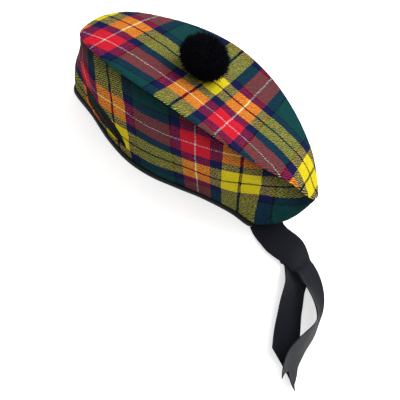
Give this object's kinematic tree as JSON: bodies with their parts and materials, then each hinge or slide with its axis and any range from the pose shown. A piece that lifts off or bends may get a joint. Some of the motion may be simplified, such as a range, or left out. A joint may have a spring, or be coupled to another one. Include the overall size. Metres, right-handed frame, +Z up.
{
  "type": "glengarry",
  "caption": "Tartan glengarry cap with black bound rim, wool pompom, side cockade and ribbon tails, standing empty on its rim.",
  "frame": {"origin": "middle of the whole part's footprint, on the surface that the rim and the tails rest on", "axes": "+Z up, -Y towards the front of the cap, +X towards the wearer's left"},
  "size_m": [0.2316, 0.3688, 0.1496],
  "materials": {
    "tartan": "matte twill",
    "black_ribbon": "fine ribbed ribbon",
    "black_wool": "fuzzy wool"
  },
  "bodies": {
    "root": {"crown": "tartan", "left_side": "tartan", "right_side": "tartan", "edge_binding": "black_ribbon", "cockade": "black_ribbon", "long_tail": "black_ribbon", "short_tail": "black_ribbon", "toorie": "black_wool"}
  },
  "joints": []
}
